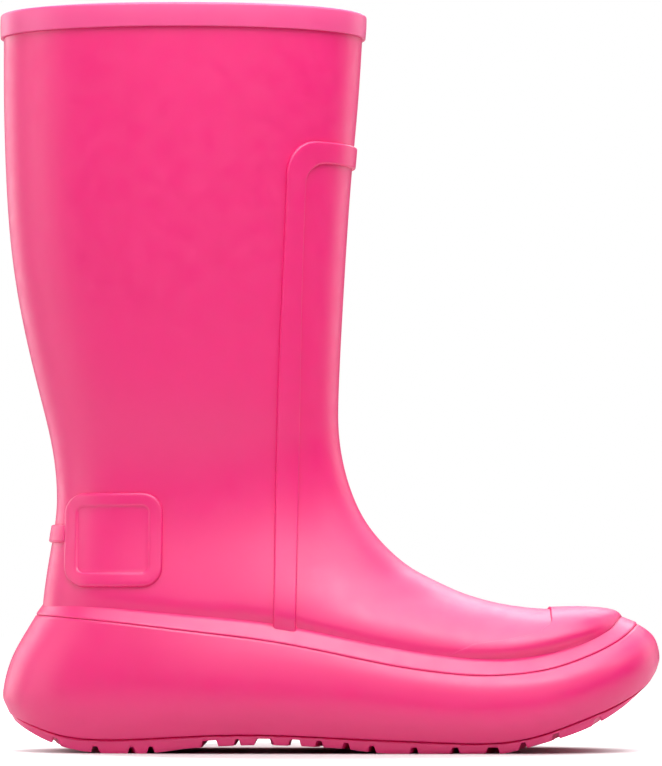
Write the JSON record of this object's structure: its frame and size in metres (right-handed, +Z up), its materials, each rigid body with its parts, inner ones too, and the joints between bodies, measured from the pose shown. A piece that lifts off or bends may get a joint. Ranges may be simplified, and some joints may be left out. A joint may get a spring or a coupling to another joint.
{
  "type": "rubber rain boot",
  "caption": "Pull-on rubber rain boot for the right foot in hot pink, with a thick rounded sole, a raised front trim and a removable insole.",
  "frame": {"origin": "on the ground, under the middle of the boot's outline", "axes": "+X from the heel to the toe, +Y towards the inner (medial) side, +Z up"},
  "size_m": [0.2996, 0.1203, 0.334],
  "materials": {
    "pink_rubber": "satin",
    "textile_lining": "matte",
    "insole_foam": "matte",
    "sole_foam": "matte",
    "stiffener": "matte",
    "fibre_board": "matte",
    "spring_steel": "satin"
  },
  "bodies": {
    "boot": {"upper_shell": "pink_rubber", "collar_band": "pink_rubber", "front_trim_band": "pink_rubber", "toe_cap": "pink_rubber", "heel_strap": "pink_rubber", "heel_plaque": "pink_rubber", "foxing_band": "pink_rubber", "midsole": "pink_rubber", "outsole": "pink_rubber", "sock_lining": "textile_lining", "midsole_core": "sole_foam", "heel_counter": "stiffener", "toe_puff": "stiffener", "insole_board": "fibre_board", "shank": "spring_steel", "insole_forepart": "insole_foam"},
    "insole_heel": {"insole_heelpart": "insole_foam"}
  },
  "joints": [
    {"name": "insole_lift", "type": "hinge", "parent": "boot", "child": "insole_heel", "pos_m": [0.0054, 0, 0.0383], "axis": [0, 1, 0], "range_deg": [0, 15]}
  ]
}
